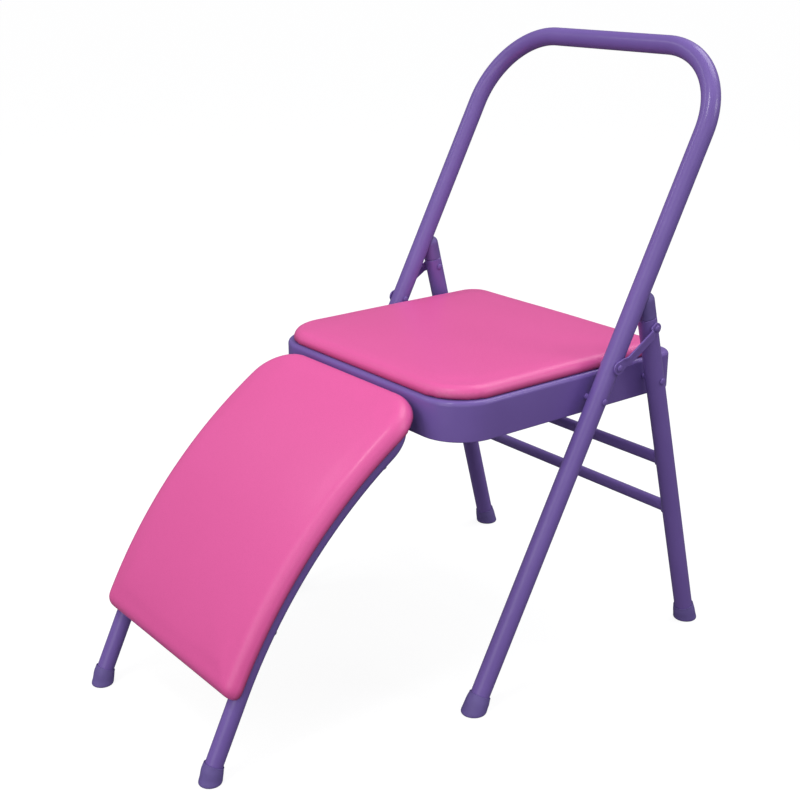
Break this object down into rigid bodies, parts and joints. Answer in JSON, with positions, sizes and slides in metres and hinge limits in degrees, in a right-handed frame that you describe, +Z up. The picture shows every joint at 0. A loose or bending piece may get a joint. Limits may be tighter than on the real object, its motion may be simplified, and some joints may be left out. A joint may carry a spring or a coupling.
{
  "type": "folding yoga chair",
  "caption": "Backless folding yoga chair of painted tube with a padded seat, hinge links that fold it flat, and an arched padded rest hooked to the front of the seat.",
  "frame": {"origin": "middle of the footprint, on the floor", "axes": "+Z is up; the front of the seat and the arched rest point towards -Y; +X is the right side as seen by someone who looks along -Y from the back"},
  "size_m": [0.4668, 0.7789, 0.8024],
  "materials": {
    "painted_steel": "satin powder coat, violet",
    "vinyl": "smooth matt artificial leather, pink",
    "rubber": "matt moulded rubber, dark violet",
    "plywood": "plain plywood",
    "plated_steel": "zinc plated"
  },
  "bodies": {
    "front_frame": {"front_hoop": "painted_steel", "front_foot_right": "rubber", "front_foot_left": "rubber", "seat_rivet_right": "painted_steel", "seat_rivet_left": "painted_steel", "link_rivet_right": "painted_steel", "link_rivet_left": "painted_steel"},
    "seat": {"seat_pan": "painted_steel", "seat_cushion": "vinyl", "seat_board": "plywood", "seat_screw_front_right": "plated_steel", "seat_screw_front_left": "plated_steel", "seat_screw_rear_right": "plated_steel", "seat_screw_rear_left": "plated_steel", "pivot_plate_right": "painted_steel", "pivot_plate_left": "painted_steel", "seat_boss_right": "painted_steel", "seat_boss_left": "painted_steel", "leg_boss_right": "painted_steel", "leg_boss_left": "painted_steel", "rest_hook_right": "painted_steel", "rest_hook_left": "painted_steel"},
    "rear_legs": {"rear_leg_right": "painted_steel", "rear_leg_left": "painted_steel", "rear_foot_right": "rubber", "rear_foot_left": "rubber", "leg_rivet_right": "painted_steel", "leg_rivet_left": "painted_steel", "leg_button_right": "painted_steel", "leg_button_left": "painted_steel", "leg_cap_right": "rubber", "leg_cap_left": "rubber", "upper_stretcher": "painted_steel", "lower_stretcher": "painted_steel"},
    "hinge_links": {"hinge_link_right": "painted_steel", "hinge_link_left": "painted_steel", "link_end_rivet_right": "painted_steel", "link_end_rivet_left": "painted_steel"},
    "front_rest": {"rest_frame": "painted_steel", "rest_board": "plywood", "rest_pad": "vinyl", "rest_screw_lower_right": "plated_steel", "rest_screw_lower_left": "plated_steel", "rest_screw_upper_right": "plated_steel", "rest_screw_upper_left": "plated_steel", "rest_foot_right": "rubber", "rest_foot_left": "rubber"}
  },
  "joints": [
    {"name": "seat_fold", "type": "hinge", "parent": "front_frame", "child": "seat", "pos_m": [0, 0.15749, 0.3742], "axis": [-1, 0, 0], "range_deg": [0, 105]},
    {"name": "rear_leg_fold", "type": "hinge", "parent": "seat", "child": "rear_legs", "pos_m": [0, 0.26411, 0.3798], "axis": [1, 0, 0], "range_deg": [0, 63]},
    {"name": "link_fold", "type": "hinge", "parent": "front_frame", "child": "hinge_links", "pos_m": [0, 0.17903, 0.415], "axis": [-1, 0, 0], "range_deg": [0, 127.5]},
    {"name": "rest_swing", "type": "hinge", "parent": "seat", "child": "front_rest", "pos_m": [0, -0.08005, 0.36955], "axis": [1, 0, 0], "range_deg": [0, 60]}
  ],
  "couplings": [
    {"joint": "rear_leg_fold", "follows": "seat_fold", "ratio": 0.5981},
    {"joint": "link_fold", "follows": "seat_fold", "ratio": 1.2124}
  ]
}
